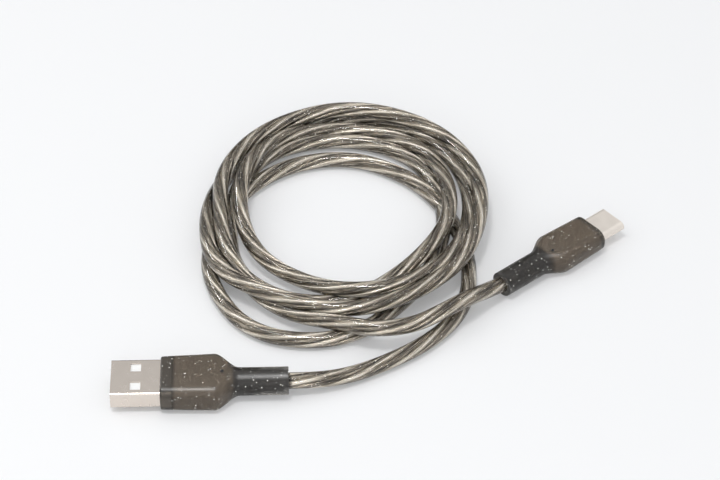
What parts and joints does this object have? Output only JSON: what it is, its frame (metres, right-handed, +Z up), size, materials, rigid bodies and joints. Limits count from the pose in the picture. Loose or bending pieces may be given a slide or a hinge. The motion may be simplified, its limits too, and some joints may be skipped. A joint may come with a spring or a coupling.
{
  "type": "charging cable",
  "caption": "Loosely coiled charging cable with a translucent jacket, a USB-A plug at one end and a USB-C plug at the other.",
  "frame": {"origin": "middle of the whole cable's footprint, on the surface that it lies on", "axes": "+Z up from that surface, +X along the longer side of the footprint, from the USB-A plug towards the USB-C plug"},
  "size_m": [0.1265, 0.113, 0.0087],
  "materials": {
    "nickel_steel": "satin nickel-plated sheet steel",
    "smoky_mould": "translucent smoky moulding with fine glitter",
    "inner_mould": "plain inner moulding",
    "jacket": "clear smoky jacket over twisted silver strands",
    "white_insulator": "matte",
    "black_insulator": "matte",
    "gold_contact": "gold-plated",
    "spring_steel": "bright",
    "solder": "dull silver",
    "board": "solder-mask coated laminate",
    "resistor": "black chip",
    "wire_red": "insulated conductor",
    "wire_white": "insulated conductor",
    "wire_green": "insulated conductor",
    "wire_black": "insulated conductor"
  },
  "bodies": {
    "cable": {"cable_coil": "jacket", "cable_lead_a": "jacket", "cable_lead_c": "jacket"},
    "usb_a_plug": {"usb_a_shell": "nickel_steel", "usb_a_insulator": "white_insulator", "usb_a_contacts": "gold_contact", "usb_a_solder": "solder", "usb_a_cable_end": "jacket", "usb_a_ferrule": "nickel_steel", "usb_a_wire_red": "wire_red", "usb_a_wire_white": "wire_white", "usb_a_wire_green": "wire_green", "usb_a_wire_black": "wire_black", "usb_a_inner_mould": "inner_mould", "usb_a_outer_mould": "smoky_mould"},
    "usb_c_plug": {"usb_c_shell": "nickel_steel", "usb_c_insulator": "black_insulator", "usb_c_mid_plate": "spring_steel", "usb_c_circuit_board": "board", "usb_c_resistor": "resistor", "usb_c_solder": "solder", "usb_c_cable_end": "jacket", "usb_c_ferrule": "nickel_steel", "usb_c_wire_red": "wire_red", "usb_c_wire_white": "wire_white", "usb_c_wire_green": "wire_green", "usb_c_wire_black": "wire_black", "usb_c_inner_mould": "inner_mould", "usb_c_outer_mould": "smoky_mould"},
    "latch_left": {"usb_c_latch_left": "spring_steel"},
    "latch_right": {"usb_c_latch_right": "spring_steel"},
    "upper_contacts": {"usb_c_upper_contacts": "gold_contact"},
    "lower_contacts": {"usb_c_lower_contacts": "gold_contact"}
  },
  "joints": [
    {"name": "usb_a_swing", "type": "hinge", "parent": "cable", "child": "usb_a_plug", "pos_m": [-0.0206, -0.0485, 0.00365], "axis": [0, 0, 1], "range_deg": [-12, 12], "stiffness_Nm_per_rad": 0.03},
    {"name": "usb_c_swing", "type": "hinge", "parent": "cable", "child": "usb_c_plug", "pos_m": [0.0315, -0.0139, 0.00335], "axis": [0, 0, 1], "range_deg": [-12, 12], "stiffness_Nm_per_rad": 0.03},
    {"name": "latch_left_spread", "type": "hinge", "parent": "usb_c_plug", "child": "latch_left", "pos_m": [0.05197, 0.00758, 0.00335], "axis": [0, 0, 1], "range_deg": [0, 2.4], "stiffness_Nm_per_rad": 0.3},
    {"name": "latch_right_spread", "type": "hinge", "parent": "usb_c_plug", "child": "latch_right", "pos_m": [0.05603, 0.00279, 0.00335], "axis": [0, 0, 1], "range_deg": [-2.4, 0], "stiffness_Nm_per_rad": 0.3},
    {"name": "upper_contacts_lift", "type": "hinge", "parent": "usb_c_plug", "child": "upper_contacts", "pos_m": [0.05285, 0.00421, 0.00384], "axis": [0.6468, -0.7627, 0], "range_deg": [0, 1.2], "stiffness_Nm_per_rad": 1},
    {"name": "lower_contacts_lift", "type": "hinge", "parent": "usb_c_plug", "child": "lower_contacts", "pos_m": [0.05285, 0.00421, 0.00286], "axis": [0.6468, -0.7627, 0], "range_deg": [-1.2, 0], "stiffness_Nm_per_rad": 1}
  ]
}
